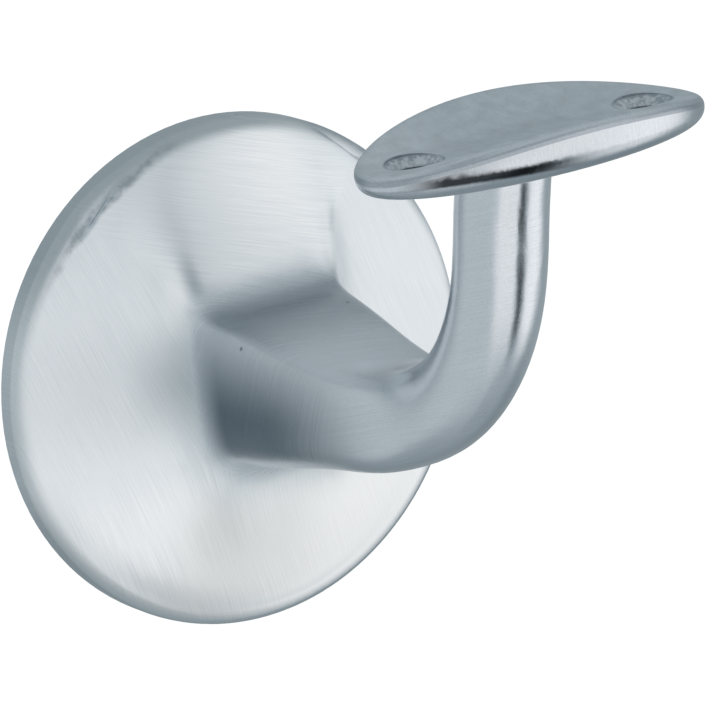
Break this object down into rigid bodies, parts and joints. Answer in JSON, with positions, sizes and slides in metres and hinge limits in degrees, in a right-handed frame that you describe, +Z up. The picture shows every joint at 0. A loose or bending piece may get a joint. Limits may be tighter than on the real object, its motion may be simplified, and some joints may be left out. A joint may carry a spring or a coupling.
{
  "type": "handrail bracket",
  "caption": "Cast aluminium wall bracket for a handrail: domed round rosette, square neck flaring from it, round arm bent up and an oval trough saddle with screw holes.",
  "frame": {"origin": "middle of the rosette's back, on the wall plane, at the mouth of the stud bore", "axes": "+X along the handrail, +Y into the wall, +Z up; the arm stands out along -Y and bends up to the saddle"},
  "size_m": [0.07, 0.0986, 0.0838],
  "materials": {
    "aluminium": "satin brushed"
  },
  "bodies": {
    "root": {"bracket_casting": "aluminium"}
  },
  "joints": []
}
